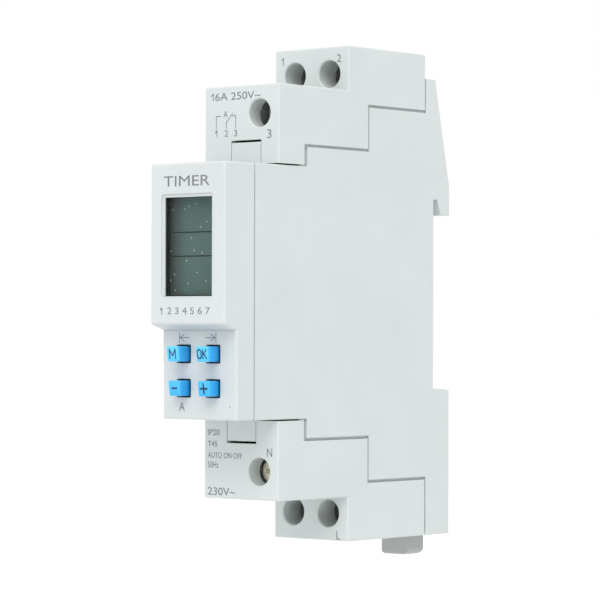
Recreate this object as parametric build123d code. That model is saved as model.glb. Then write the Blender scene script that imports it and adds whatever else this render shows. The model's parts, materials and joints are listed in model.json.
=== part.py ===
from build123d import *
import os

# DIN rail timer, one module wide. Millimetres.
# X to the right seen from the front, Y to the back (the front faces -Y), Z up.
# The origin is on the rail: the rail's rear face is the plane Y = 0, its centre line is Z = 0,
# and X = 0 is the middle of the module.

# --- overall envelope ---
MODULE_WIDTH = 17.5
HALF_WIDTH = MODULE_WIDTH / 2
FRONT_TOP = 22.5
STEP_TOP = 36.9
BODY_TOP = 45.0
DISPLAY_Y = -59.2
PANEL_Y = -56.0
COVER_SEAM_Y = -51.15
SHOULDER_Y = -44.9
REAR_STEP_Y = -25.4
BLOCK_BACK_Y = -2.6
REAR_Y = 4.9

# --- walls and gaps ---
SIDE_WALL = 1.3
INNER_X = HALF_WIDTH - SIDE_WALL
SHELF = 1.6
COVER_WALL = 1.4
REAR_WALL = 1.6
SEAM_GAP = 0.36
BLOCK_GAP = 0.27
LIP_THICK = 0.6
LIP_REACH = 1.6
LIP_GAP = 0.1
SIDE_RADIUS = 0.25
BLOCK_RADIUS = 0.3

# --- stepped edge of the side walls: places where the middle body ends ---
EDGE_Y = (-36.9, -19.3, -2.25)
EDGE_Z = (26.0, 34.1)
GROOVE_WIDE = 1.0
GROOVE = 0.47

# --- rail interface (35 mm top-hat rail, 1 mm flange) ---
HOOK_TOP = 40.5
HOOK_SLOPE_TOP_Y = 0.5
HOOK_SHOULDER = 20.5
HOOK_BOTTOM = 15.05
HOOK_LIP_Y = 2.35
SLOT_TOP = 17.9
SLOT_DEPTH = 1.15
SLOT_BOTTOM = -17.64
LOWER_CHAMFER_Y = 3.3
LOWER_CHAMFER_Z = -17.9

# --- rail clip ---
CLIP_HALF_X = 3.2
CLIP_FRONT_Y = -0.84
CLIP_BACK_Y = 4.1
CLIP_TOP = -15.4
NOSE_Y = (1.15, 1.9)
NOSE_END_Z = -17.4
CLIP_BOTTOM = -49.05
TAB_FRONT_RADIUS = 0.45
TAB_BACK_RADIUS = 1.1
TAB_CORNER_RADIUS = 1.2
CHANNEL_HALF_X = 3.35
CHANNEL_Y = -0.95
WING_HALF_X = 4.05
WING_Y = (0.7, 1.9)
WING_Z = (-44.0, -22.0)
WING_PLAY = 0.1
CLIP_WINDOW_HALF_X = 1.6
CLIP_WINDOW_Z = (-40.0, -28.0)
LEDGE_Z = (-36.0, -34.6)
SPRING_Y = 1.7
SPRING_RADIUS = 1.3
SPRING_WIRE = 0.175
SPRING_TURNS = 7

# --- front cover, display and buttons ---
PANEL_TOP_Z = -6.8
OVERHANG_Z = -5.75
OVERHANG_RADIUS = 0.6
OVERHANG_WALL = 1.2
OVERHANG_LINE = 0.07
FRONT_RADIUS = 0.45
WINDOW_HALF_X = 5.55
WINDOW_Z = (-0.85, 16.5)
WINDOW_WALL = 1.2
RECESS_HALF_X = 6.15
RECESS_Z = (-1.15, 17.1)
RECESS_RADIUS = 0.8
RECESS_DEPTH = 0.25
LENS_Y = (-58.65, -57.75)
LENS_MARGIN = 0.75
LCD_Y = (-57.1, -54.3)
LCD_HALF_X = 6.4
LCD_Z = (-2.0, 17.6)
DISPLAY_BOARD_Y = (-52.6, -51.4)
PANEL_BACK_Y = -55.0
BUTTON_X = (-3.64, 3.26)
BUTTON_Z = (-10.93, -16.95)
BUTTON_FRONT_Y = (-59.15, -58.65)
BUTTON_WIDE = 2.75
BUTTON_HIGH = 2.7
BUTTON_GAP = 0.31
BUTTON_RADIUS = 0.35
BUTTON_HOLE_RADIUS = 0.2
BUTTON_TILT = 8.0
DIMPLE = (7.24, -20.13)
DIMPLE_RADIUS = 0.22
DIMPLE_DEPTH = 0.12
FLANGE = 3.9
FLANGE_Y = (-54.9, -54.3)
SWITCH_FRONT_Y = -53.7
PLUNGER_RADIUS = 0.75

# --- terminals: name, screw axis X, screw axis Z, face it sits behind, first layer depth ---
FRONT_STACK = 4.8
REAR_STACK = 5.8
SCREW_HOLE_RADIUS = 2.5
SCREW_HOLE_WALL = 0.75
HOLE_RIM = 0.2
FRONT_BORE = 3.2
REAR_BORE = 4.9
FRONT_ROW_Z = 31.8
REAR_ROW_Z = 40.0
TERMINALS = {
    "1": (-4.1, REAR_ROW_Z, REAR_STEP_Y + REAR_STACK),
    "2": (4.1, REAR_ROW_Z, REAR_STEP_Y + REAR_STACK),
    "3": (4.15, FRONT_ROW_Z, SHOULDER_Y + FRONT_STACK),
    "n": (4.2, -FRONT_ROW_Z, SHOULDER_Y + FRONT_STACK),
    "l": (4.0, -REAR_ROW_Z, REAR_STEP_Y + REAR_STACK),
}
EMPTY_PLACE_X = -4.25
BACKED_OUT = {"n": 1.4}
HEAD_RADIUS = 2.2
HEAD_LENGTH = 2.2
SHANK_RADIUS = 1.45
SHANK_END = 8.55
CAGE_HALF_X = 3.1
CAGE_HIGH = 5.5
CAGE_SIDE = 0.8
NUT_WALL = (5.4, 7.2)
CAGE_REAR = (13.8, 14.8)
BAR_Y = (8.6, 9.6)
BAR_HALF_X = 2.0
ENTRY_DEPTH = 11.7
ENTRY_X = 4.8
ENTRY_Y = 4.6
ENTRY_RADIUS = 0.4

# --- main board ---
BOARD_X = (-7.2, -5.6)
BOARD_Y = (-47.5, -36.5, -18.0, -5.6)
BOARD_Z = (20.5, 27.3, 36.4)
PIN_X = -7.3
PIN_GAP = 0.1
POSTS = ((-44.5, 18.6), (-44.5, -18.6), (-3.2, 25.0), (-3.9, -28.0))
POST_RADIUS = 1.8
PEG_RADIUS = 0.8

# --- relay ---
RELAY_X = (-5.6, 6.6)
RELAY_Y = (-23.0, -9.0)
RELAY_Z = (0.0, 29.0)
RELAY_WALL = 0.8
COIL_X = 0.6
COIL_Y = -14.6

# --- rectifier diodes on the main board ---
DIODE_RADIUS = 1.2
DIODE_Y = -34.0
DIODE_STEP = 2.7
DIODE_Z = (10.0, 15.0)


# --- shape helpers ---
def block(x, y, z):
    """Rectangular block between pairs of limits."""
    return Pos(sum(x) / 2, sum(y) / 2, sum(z) / 2) * Box(x[1] - x[0], y[1] - y[0], z[1] - z[0])


def slice_yz(outline, x):
    """Plate between the x limits whose side outline is a list of (Y, Z) points."""
    face = Plane.YZ * make_face(Polyline(*outline, close=True))
    return Pos(x[0], 0, 0) * extrude(face, x[1] - x[0])


def rod(axis, centre, radius, span):
    """Cylinder along X, Y or Z; centre holds the other two coordinates in X, Y, Z order."""
    length = span[1] - span[0]
    middle = sum(span) / 2
    turn = {"X": Rot(0, 90, 0), "Y": Rot(90, 0, 0), "Z": Rot(0, 0, 0)}[axis]
    where = {
        "X": (middle, centre[0], centre[1]),
        "Y": (centre[0], middle, centre[1]),
        "Z": (centre[0], centre[1], middle),
    }[axis]
    return Pos(*where) * turn * Cylinder(radius, length)


def edges_near(part, x=None, y=None, z=None):
    """Straight and curved edges whose middle lies at the given coordinates."""
    def fits(edge):
        middle = edge.position_at(0.5)
        wanted = ((middle.X, x), (middle.Y, y), (middle.Z, z))
        return all(want is None or abs(got - want) < 0.02 for got, want in wanted)
    return part.edges().filter_by(fits)


# --- housing ---
def stepped_edge(reach=0.0):
    """Upper stepped edge of the middle body, from the front seam to the back, pushed out by reach."""
    return [
        (COVER_SEAM_Y, FRONT_TOP),
        (EDGE_Y[0] - reach, FRONT_TOP),
        (EDGE_Y[0] - reach, EDGE_Z[0] + reach),
        (EDGE_Y[1] - reach, EDGE_Z[0] + reach),
        (EDGE_Y[1] - reach, EDGE_Z[1] + reach),
        (EDGE_Y[2] - reach, EDGE_Z[1] + reach),
    ]


def lip_outline(reach):
    """Side outline of the lip under the terminal covers."""
    upper = stepped_edge(reach) + [(EDGE_Y[2] - reach, HOOK_TOP), (EDGE_Y[2], HOOK_TOP)]
    return upper + [(y, -z) for y, z in reversed(upper)]


def side_outline():
    """Whole side outline of the middle body."""
    upper = stepped_edge()
    lower = [(y, -z) for y, z in reversed(upper)]
    hook = [
        (EDGE_Y[2], HOOK_TOP),
        (HOOK_SLOPE_TOP_Y, HOOK_TOP),
        (REAR_Y, HOOK_SHOULDER),
        (REAR_Y, HOOK_BOTTOM),
        (HOOK_LIP_Y, HOOK_BOTTOM),
        (SLOT_DEPTH, SLOT_TOP),
        (0, SLOT_TOP),
    ]
    foot = [
        (0, SLOT_BOTTOM),
        (LOWER_CHAMFER_Y, SLOT_BOTTOM),
        (REAR_Y, LOWER_CHAMFER_Z),
        (REAR_Y, -BODY_TOP),
        (EDGE_Y[2], -BODY_TOP),
    ]
    return upper + hook + foot + lower


def side_wall(sign):
    """One side wall with the thin lip that the terminal covers lap over."""
    plate = slice_yz(side_outline(), sorted((sign * INNER_X, sign * HALF_WIDTH)))
    plate = fillet(edges_near(plate, x=sign * HALF_WIDTH), SIDE_RADIUS)
    return plate + slice_yz(lip_outline(LIP_REACH), sorted((sign * INNER_X, sign * (INNER_X + LIP_THICK))))


def hook_block():
    """Rail hook between the side walls, cored from one side."""
    inside = (-INNER_X, INNER_X)
    solid = slice_yz(
        [
            (-REAR_WALL, SLOT_TOP - 2),
            (-REAR_WALL, EDGE_Z[1]),
            (EDGE_Y[2], EDGE_Z[1]),
            (EDGE_Y[2], HOOK_TOP),
            (HOOK_SLOPE_TOP_Y, HOOK_TOP),
            (REAR_Y, HOOK_SHOULDER),
            (REAR_Y, HOOK_BOTTOM),
            (HOOK_LIP_Y, HOOK_BOTTOM),
            (SLOT_DEPTH, SLOT_TOP),
            (0, SLOT_TOP),
            (0, SLOT_TOP - 2),
        ],
        inside,
    )
    core = slice_yz([(-0.6, 36.5), (-0.05, 36.5), (3.45, 20.5), (3.45, 19.9), (-0.6, 19.9)], inside)
    return solid - core


def clip_block():
    """Lower rear block around the rail clip."""
    outline = [
        (EDGE_Y[2], SLOT_BOTTOM),
        (LOWER_CHAMFER_Y, SLOT_BOTTOM),
        (REAR_Y, LOWER_CHAMFER_Z),
        (REAR_Y, -BODY_TOP),
        (EDGE_Y[2], -BODY_TOP),
    ]
    return slice_yz(outline, (-INNER_X, INNER_X))


def clip_channel():
    """Space that the rail clip and its wings slide in."""
    channel = block((-CHANNEL_HALF_X, CHANNEL_HALF_X), (CHANNEL_Y, REAR_Y + 1), (-BODY_TOP - 1, SLOT_BOTTOM))
    wing_x = WING_HALF_X + 1.5 * WING_PLAY
    wings = block(
        (-wing_x, wing_x),
        (WING_Y[0] - WING_PLAY, WING_Y[1] + WING_PLAY),
        (-BODY_TOP - 1, WING_Z[1] + WING_PLAY),
    )
    return channel + wings


def shelf(sign):
    """Front shelf that carries the front cover, with its catch recess."""
    z = sorted((sign * (FRONT_TOP - SHELF), sign * FRONT_TOP))
    plate = block((-INNER_X, INNER_X), (COVER_SEAM_Y, EDGE_Y[0]), z)
    recess_z = sorted((sign * (FRONT_TOP - SHELF - 0.1), sign * (FRONT_TOP - SHELF + 0.6)))
    return plate - block((-5.8, 5.8), (-49.2, -47.9), recess_z)


def catch_tab(x, sign, tip):
    """Springy square tab that locks a terminal cover."""
    z = sorted((sign * (FRONT_TOP - SHELF), sign * tip))
    tab = block(x, (SHOULDER_Y, SHOULDER_Y + 1.2), z)
    return chamfer(edges_near(tab, y=SHOULDER_Y, z=sign * tip), 0.25)


def post(place):
    """Round post from the left wall, with the socket for a side cover peg."""
    body = rod("X", place, POST_RADIUS, (-INNER_X - 0.2, INNER_X))
    socket = rod("X", place, PEG_RADIUS + 0.05, (INNER_X - 4.0, INNER_X + 1))
    return body - socket


UPPER_TAB_X = (-2.3, 4.5)
LOWER_TAB_X = (-3.16, 3.47)
UPPER_TAB_TIP = 26.7
LOWER_TAB_TIP = 26.5


def housing_body():
    """Left wall, rear wall, hook, clip block, shelves, tabs, posts and board ribs in one moulding."""
    body = side_wall(-1)
    body += block((-INNER_X, INNER_X), (-REAR_WALL, 0), (SLOT_BOTTOM - 1, SLOT_TOP))
    body += hook_block()
    body += clip_block()
    body -= clip_channel()
    body += block((-1.4, 1.4), (CHANNEL_Y - 0.3, 3.2), LEDGE_Z)
    for sign in (1, -1):
        body += shelf(sign)
    body += catch_tab(UPPER_TAB_X, 1, UPPER_TAB_TIP)
    body += catch_tab(LOWER_TAB_X, -1, LOWER_TAB_TIP)
    for place in POSTS:
        body += post(place)
        body -= rod("X", place, PEG_RADIUS + 0.05, (INNER_X - 4.0, INNER_X + 1))
    for z in (-12.0, 12.0):
        body += block((-INNER_X - 0.1, BOARD_X[0]), (-45, -8), (z - 0.5, z + 0.5))
    return body


def side_cover():
    """Right side wall with four locating pegs."""
    wall = side_wall(1)
    for place in POSTS:
        wall += rod("X", place, PEG_RADIUS, (INNER_X - 3.8, INNER_X + 0.1))
    return wall


# --- terminal covers ---
def entry_centre(y_head):
    """Y of a wire entry, from the Y of its screw layer."""
    return y_head + ENTRY_DEPTH


def countersink(centre, face_y):
    """Small chamfer round the rim of a screwdriver hole."""
    reach = HOLE_RIM + 1
    cone = Cone(SCREW_HOLE_RADIUS + reach, SCREW_HOLE_RADIUS, reach)
    return Pos(centre[0], face_y + HOLE_RIM - reach / 2, centre[1]) * Rot(-90, 0, 0) * cone


def entry_hole(x, y, top):
    """Wire entry with a small chamfer round its rim, cut down from the face at Z = top."""
    shaft = Pos(x, y, top - 3) * extrude(RectangleRounded(ENTRY_X, ENTRY_Y, ENTRY_RADIUS), 4)
    wide = RectangleRounded(ENTRY_X + 2 * HOLE_RIM, ENTRY_Y + 2 * HOLE_RIM, ENTRY_RADIUS + HOLE_RIM)
    rim = Pos(x, y, top + 0.001) * extrude(wide, -HOLE_RIM, taper=45)
    return shaft + rim


def terminal_cover(front_x, rear_x, tab_x, tab_tip, empty_x=None):
    """L-shaped terminal block shell, built for the top; rear_x lists the wired rear places."""
    base = FRONT_TOP + BLOCK_GAP
    cover_y = (EDGE_Y[0] - GROOVE_WIDE, EDGE_Y[1] - GROOVE)
    cover_z = (EDGE_Z[0] + GROOVE, EDGE_Z[1] + GROOVE)
    shell = slice_yz(
        [
            (SHOULDER_Y, base),
            (SHOULDER_Y, STEP_TOP),
            (REAR_STEP_Y, STEP_TOP),
            (REAR_STEP_Y, BODY_TOP),
            (BLOCK_BACK_Y, BODY_TOP),
            (BLOCK_BACK_Y, cover_z[1]),
            (cover_y[1], cover_z[1]),
            (cover_y[1], cover_z[0]),
            (cover_y[0], cover_z[0]),
            (cover_y[0], base),
        ],
        (-HALF_WIDTH, HALF_WIDTH),
    )
    rounded = ShapeList()
    for y, top, bottom in ((SHOULDER_Y, STEP_TOP, base), (REAR_STEP_Y, BODY_TOP, STEP_TOP)):
        rounded += edges_near(shell, y=y, z=top)
        for x in (-HALF_WIDTH, HALF_WIDTH):
            rounded += edges_near(shell, x=x, y=y, z=(top + bottom) / 2)
    for x in (-HALF_WIDTH, HALF_WIDTH):
        rounded += edges_near(shell, x=x, z=STEP_TOP)
        rounded += edges_near(shell, x=x, z=BODY_TOP)
        rounded += edges_near(shell, x=x, y=BLOCK_BACK_Y)
    rounded += edges_near(shell, y=BLOCK_BACK_Y, z=BODY_TOP)
    shell = fillet(rounded, BLOCK_RADIUS)

    inner_y = (SHOULDER_Y + COVER_WALL, REAR_STEP_Y + COVER_WALL, BLOCK_BACK_Y - 1.25)
    inner_z = (STEP_TOP - COVER_WALL, BODY_TOP - COVER_WALL)
    shell -= slice_yz(
        [
            (inner_y[0], base - 1),
            (inner_y[0], inner_z[0]),
            (inner_y[1], inner_z[0]),
            (inner_y[1], inner_z[1]),
            (inner_y[2], inner_z[1]),
            (inner_y[2], base - 1),
        ],
        (-INNER_X, INNER_X),
    )
    shell += block((-0.5, 0.5), (inner_y[1] - 0.1, inner_y[2] + 0.1), (cover_z[1], inner_z[1] + 0.1))
    shell += block((-0.4, 0.4), (inner_y[0] - 0.1, inner_y[1]), (28.0, inner_z[0] + 0.1))

    places = [(front_x, FRONT_ROW_Z, SHOULDER_Y, FRONT_BORE)]
    rear_places = rear_x + ([empty_x] if empty_x else [])
    places += [(x, REAR_ROW_Z, REAR_STEP_Y, REAR_BORE) for x in rear_places]
    for x, z, face_y, depth in places:
        outer_radius = SCREW_HOLE_RADIUS + SCREW_HOLE_WALL
        shell += rod("Y", (x, z), outer_radius, (face_y + COVER_WALL / 2, face_y + depth))
    for x, z, face_y, depth in places:
        shell -= rod("Y", (x, z), SCREW_HOLE_RADIUS, (face_y - 1, face_y + depth + 1))
        shell -= countersink((x, z), face_y)

    entries = [(front_x, entry_centre(SHOULDER_Y + FRONT_STACK), STEP_TOP)]
    entries += [(x, entry_centre(REAR_STEP_Y + REAR_STACK), BODY_TOP) for x in rear_x]
    for x, y, top in entries:
        shell -= entry_hole(x, y, top)

    notch = block(
        (tab_x[0] - 0.15, tab_x[1] + 0.15),
        (SHOULDER_Y - 1, SHOULDER_Y + COVER_WALL + 0.1),
        (base - 1, tab_tip + 0.4),
    )
    shell -= notch
    for side in (1, -1):
        lap = sorted((side * (INNER_X - LIP_GAP), side * (INNER_X + LIP_THICK + LIP_GAP)))
        shell -= slice_yz(lip_outline(LIP_REACH + LIP_GAP), lap)
    return shell


# --- front cover ---
def overhang_z(y):
    """Height of the sloping underside of the display block."""
    return OVERHANG_Z + (PANEL_TOP_Z - OVERHANG_Z) * (y - DISPLAY_Y) / (PANEL_Y - DISPLAY_Y)


def display_block():
    """Raised upper part of the front cover with its sloping underside."""
    back = COVER_SEAM_Y - SEAM_GAP
    outline = [(DISPLAY_Y, OVERHANG_Z), (back, overhang_z(back)), (back, FRONT_TOP), (DISPLAY_Y, FRONT_TOP)]
    solid = slice_yz(outline, (-HALF_WIDTH, HALF_WIDTH))
    solid = fillet(edges_near(solid, y=DISPLAY_Y, z=OVERHANG_Z), OVERHANG_RADIUS)
    rounded = edges_near(solid, y=DISPLAY_Y, z=FRONT_TOP)
    for x in (-HALF_WIDTH, HALF_WIDTH):
        side = solid.edges().filter_by(lambda e, x=x: abs(e.position_at(0.5).X - x) < 0.02)
        rounded += side.filter_by(lambda e: e.position_at(0.5).Y < back - 0.1)
    return fillet(rounded, FRONT_RADIUS)


def panel_block():
    """Lower part of the front cover that holds the buttons."""
    back = COVER_SEAM_Y - SEAM_GAP
    solid = block((-HALF_WIDTH, HALF_WIDTH), (PANEL_Y, back), (-FRONT_TOP, 0))
    rounded = edges_near(solid, y=PANEL_Y, z=-FRONT_TOP)
    for x in (-HALF_WIDTH, HALF_WIDTH):
        rounded += edges_near(solid, x=x, y=PANEL_Y)
        rounded += edges_near(solid, x=x, z=-FRONT_TOP)
    return fillet(rounded, FRONT_RADIUS)


def cover_tongue(x, sign):
    """Snap tongue behind the front cover."""
    def up(low, high):
        return sorted((sign * low, sign * high))
    tongue = block(x, (-54.0, -47.6), up(19.8, 20.8))
    tongue += block(x, (-54.0, COVER_SEAM_Y - SEAM_GAP), up(20.7, 21.4))
    tongue += block(x, (-49.0, -48.1), up(20.7, 21.2))
    return tongue


def button_hole(x, z):
    """Rounded opening for one button, cut along Y."""
    wide, high = BUTTON_WIDE + 2 * BUTTON_GAP, BUTTON_HIGH + 2 * BUTTON_GAP
    sketch = Plane.XZ * RectangleRounded(wide, high, BUTTON_HOLE_RADIUS)
    return Pos(x, PANEL_BACK_Y + 0.5, z) * extrude(sketch, 2)


def display_recess():
    """Shallow sunk frame round the display opening."""
    high = RECESS_Z[1] - RECESS_Z[0]
    sketch = Plane.XZ * RectangleRounded(2 * RECESS_HALF_X, high, RECESS_RADIUS)
    return Pos(0, DISPLAY_Y + RECESS_DEPTH, sum(RECESS_Z) / 2) * extrude(sketch, 1)


def front_cover():
    """Front shell with window, four button openings, the small lock dimple and the snap tongues."""
    cover = display_block() + panel_block()
    cavity = slice_yz(
        [
            (COVER_SEAM_Y, -FRONT_TOP + SIDE_WALL),
            (PANEL_BACK_Y, -FRONT_TOP + SIDE_WALL),
            (PANEL_BACK_Y, overhang_z(PANEL_BACK_Y) + OVERHANG_WALL),
            (DISPLAY_Y + WINDOW_WALL, overhang_z(DISPLAY_Y + WINDOW_WALL) + OVERHANG_WALL),
            (DISPLAY_Y + WINDOW_WALL, FRONT_TOP - SIDE_WALL),
            (COVER_SEAM_Y, FRONT_TOP - SIDE_WALL),
        ],
        (-INNER_X, INNER_X),
    )
    cover -= cavity
    cover -= display_recess()
    cover -= block((-WINDOW_HALF_X, WINDOW_HALF_X), (DISPLAY_Y - 1, DISPLAY_Y + 2), WINDOW_Z)
    rebate = LENS_MARGIN + 0.05
    cover -= block(
        (-WINDOW_HALF_X - rebate, WINDOW_HALF_X + rebate),
        (LENS_Y[0], DISPLAY_Y + 2),
        (WINDOW_Z[0] - rebate, WINDOW_Z[1] + rebate),
    )
    for x in BUTTON_X:
        for z in BUTTON_Z:
            cover -= button_hole(x, z)
    cover -= rod("Y", DIMPLE, DIMPLE_RADIUS, (PANEL_Y - 1, PANEL_Y + DIMPLE_DEPTH))
    line_x = HALF_WIDTH - FRONT_RADIUS
    cover -= block(
        (-line_x, line_x),
        (PANEL_Y - OVERHANG_LINE, PANEL_Y + OVERHANG_LINE),
        (PANEL_TOP_Z - OVERHANG_LINE, PANEL_TOP_Z),
    )
    for sign in (1, -1):
        cover += cover_tongue((-5.3, -1.6), sign)
        cover += cover_tongue((1.6, 5.3), sign)
    return cover


# --- display stack ---
def display_window():
    """Clear pane seated behind the front cover opening."""
    pane = block(
        (-WINDOW_HALF_X - LENS_MARGIN, WINDOW_HALF_X + LENS_MARGIN),
        LENS_Y,
        (WINDOW_Z[0] - LENS_MARGIN, WINDOW_Z[1] + LENS_MARGIN),
    )
    return fillet(pane.edges().filter_by(Axis.Y), 0.2)


def lcd_panel():
    """Display glass: two glass plates with a narrow contact shelf below."""
    front = block((-LCD_HALF_X, LCD_HALF_X), (LCD_Y[0], LCD_Y[0] + 1.1), (LCD_Z[0] + 1.2, LCD_Z[1]))
    rear = block((-LCD_HALF_X, LCD_HALF_X), (LCD_Y[0] + 1.1, LCD_Y[1]), LCD_Z)
    return front + rear


def lcd_holder_frame():
    """Frame that holds the display glass on the display board."""
    outer = block((-7.2, 7.2), (-57.5, DISPLAY_BOARD_Y[0]), (LCD_Z[0] - 0.9, LCD_Z[1] + 0.9))
    pocket = block(
        (-LCD_HALF_X - 0.05, LCD_HALF_X + 0.05),
        (LCD_Y[0] - 0.05, DISPLAY_BOARD_Y[0] + 1),
        (LCD_Z[0] - 0.05, LCD_Z[1] + 0.05),
    )
    sight = block((-5.95, 5.95), (-58, LCD_Y[0] + 1), (LCD_Z[0] + 0.8, LCD_Z[1] - 0.7))
    return outer - pocket - sight


def zebra_strips():
    """Two elastomer strips that connect the display glass to the board."""
    y = (LCD_Y[1], DISPLAY_BOARD_Y[0])
    strips = [block((-6.0, 6.0), y, (z, z + 1.4)) for z in (LCD_Z[0] + 0.2, LCD_Z[1] - 1.6)]
    return Compound(children=strips)


def display_board():
    """Circuit board behind the display and the buttons."""
    return block((-7.0, 7.0), DISPLAY_BOARD_Y, (-19.5, 19.5))


def button(x, z, front_y):
    """Push button: a cap with a sloped front on a square flange."""
    sketch = Plane.XZ * RectangleRounded(BUTTON_WIDE, BUTTON_HIGH, BUTTON_RADIUS)
    cap = Pos(x, FLANGE_Y[0] + 0.1, z) * extrude(sketch, FLANGE_Y[0] + 0.1 - front_y)
    top_edge = (x, front_y, z + BUTTON_HIGH / 2)
    cutter = Pos(*top_edge) * Rot(BUTTON_TILT, 0, 0) * Pos(0, -2, -2) * Box(6, 4, 8)
    cap -= cutter
    rim = cap.faces().sort_by(Axis.Y)[0].edges()
    cap = fillet(rim, 0.2)
    half = FLANGE / 2
    return cap + block((x - half, x + half), FLANGE_Y, (z - half, z + half))


def switch_plunger(x, z):
    """Short plunger between a button and its switch."""
    return rod("Y", (x, z), PLUNGER_RADIUS, (FLANGE_Y[1] + 0.05, SWITCH_FRONT_Y + 0.3))


def tact_switch_bodies():
    """Four short-travel switches on the display board."""
    bodies = []
    for x in BUTTON_X:
        for z in BUTTON_Z:
            half = 1.7
            body = block((x - half, x + half), (SWITCH_FRONT_Y, DISPLAY_BOARD_Y[0]), (z - half, z + half))
            body -= rod("Y", (x, z), PLUNGER_RADIUS + 0.1, (SWITCH_FRONT_Y - 1, SWITCH_FRONT_Y + 0.7))
            bodies.append(body)
    return Compound(children=bodies)


def microcontroller():
    """Flat square chip with its row of legs on all four sides."""
    y = DISPLAY_BOARD_Y[1]
    x, z = 2.2, 5.0
    chip = block((x - 3.2, x + 3.2), (y + 0.15, y + 1.4), (z - 3.2, z + 3.2))
    for index in range(8):
        step = -2.8 + 0.8 * index
        for side in (1, -1):
            reach = sorted((side * 3.1, side * 4.1))
            chip += block((x + reach[0], x + reach[1]), (y, y + 0.4), (z + step - 0.15, z + step + 0.15))
            chip += block((x + step - 0.15, x + step + 0.15), (y, y + 0.4), (z + reach[0], z + reach[1]))
    return chip


def quartz_crystal():
    """Small watch crystal can lying on the display board."""
    y = DISPLAY_BOARD_Y[1]
    return rod("Z", (1.5, y + 1.0), 1.0, (-7.5, -1.5))


# --- terminals ---
def terminal_screw(name):
    """Cheese head screw with a slot and cross recess; the thread is a plain shank."""
    x, z, y = TERMINALS[name]
    y -= BACKED_OUT.get(name, 0)
    head = rod("Y", (x, z), HEAD_RADIUS, (y, y + HEAD_LENGTH))
    head = chamfer(edges_near(head, y=y).filter_by(GeomType.CIRCLE), 0.2)
    head -= block((x - 0.35, x + 0.35), (y - 1, y + 1.0), (z - 3, z + 3))
    head -= block((x - 1.3, x + 1.3), (y - 1, y + 1.3), (z - 0.35, z + 0.35))
    return head + rod("Y", (x, z), SHANK_RADIUS, (y + HEAD_LENGTH - 0.1, y + SHANK_END))


def clamp_cage(name):
    """Steel box that the screw pulls up against the terminal bar."""
    x, z, y = TERMINALS[name]
    outer = block(
        (x - CAGE_HALF_X, x + CAGE_HALF_X),
        (y + NUT_WALL[0], y + CAGE_REAR[1]),
        (z - CAGE_HIGH / 2, z + CAGE_HIGH / 2),
    )
    outer = fillet(outer.edges().filter_by(Axis.Z), 0.5)
    inner = block(
        (x - CAGE_HALF_X + CAGE_SIDE, x + CAGE_HALF_X - CAGE_SIDE),
        (y + NUT_WALL[1], y + CAGE_REAR[0]),
        (z - CAGE_HIGH, z + CAGE_HIGH),
    )
    return outer - inner - rod("Y", (x, z), SHANK_RADIUS + 0.05, (y + 4, y + NUT_WALL[1] + 1))


def bar_pin(name):
    """Z limits of the part of a terminal bar that passes through the main board."""
    x, z, _ = TERMINALS[name]
    sign = 1 if z > 0 else -1
    if x < 0:
        return sorted((sign * 34.6, sign * 36.4))
    if abs(z) < REAR_ROW_Z:
        return sorted((sign * 24.5, sign * 26.7))
    return sorted((sign * 31.0, sign * 33.2))


def terminal_bar(name):
    """Flat bar from the main board up into its clamp cage."""
    x, z, y = TERMINALS[name]
    sign = 1 if z > 0 else -1
    pin = bar_pin(name)
    depth = (y + BAR_Y[0], y + BAR_Y[1])
    tip = z + sign * 3.1
    strip_z = sorted((tip, pin[0] if sign > 0 else pin[1]))
    strip = block((x - BAR_HALF_X, x + BAR_HALF_X), depth, strip_z)
    return strip + block((PIN_X, x + BAR_HALF_X), depth, pin)


# --- main board and what it carries ---
def main_board():
    """Main circuit board with slots for the terminal bars and clearance for the posts."""
    board = block(BOARD_X, (BOARD_Y[0], BOARD_Y[3]), (-BOARD_Z[0], BOARD_Z[0]))
    board += block(BOARD_X, (BOARD_Y[1], BOARD_Y[3]), (-BOARD_Z[1], BOARD_Z[1]))
    board += block(BOARD_X, (BOARD_Y[2], BOARD_Y[3]), (-BOARD_Z[2], BOARD_Z[2]))
    for name, (_, _, y) in TERMINALS.items():
        pin = bar_pin(name)
        slot_y = (y + BAR_Y[0] - PIN_GAP, y + BAR_Y[1] + PIN_GAP)
        board -= block((BOARD_X[0] - 1, BOARD_X[1] + 1), slot_y, (pin[0] - PIN_GAP, pin[1] + PIN_GAP))
    for place in POSTS:
        board -= rod("X", place, POST_RADIUS + 0.2, (BOARD_X[0] - 1, BOARD_X[1] + 1))
    return board


def board_connector():
    """Pin strip between the display board and the main board."""
    return block((BOARD_X[1], BOARD_X[1] + 2.5), (DISPLAY_BOARD_Y[1], -45.4), (-7.6, 7.6))


def relay_base():
    """Relay base plate on the main board."""
    return block((RELAY_X[0], RELAY_X[0] + 1.0), RELAY_Y, RELAY_Z)


def relay_case():
    """Relay cover, a five-sided shell."""
    outer = block((RELAY_X[0] + 1.0, RELAY_X[1]), RELAY_Y, RELAY_Z)
    outer = fillet(outer.edges().filter_by(Axis.X), 0.6)
    inner = block(
        (RELAY_X[0] + 0.5, RELAY_X[1] - RELAY_WALL),
        (RELAY_Y[0] + RELAY_WALL, RELAY_Y[1] - RELAY_WALL),
        (RELAY_Z[0] + RELAY_WALL, RELAY_Z[1] - RELAY_WALL),
    )
    return outer - inner


def relay_coil():
    """Bobbin with its winding, bored for the iron core."""
    winding = rod("Z", (COIL_X, COIL_Y), 3.6, (3.6, 16.4))
    for z in ((2.8, 3.6), (16.4, 17.2)):
        winding += rod("Z", (COIL_X, COIL_Y), 4.2, z)
    return winding - rod("Z", (COIL_X, COIL_Y), 1.45, (2, 18))


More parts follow.
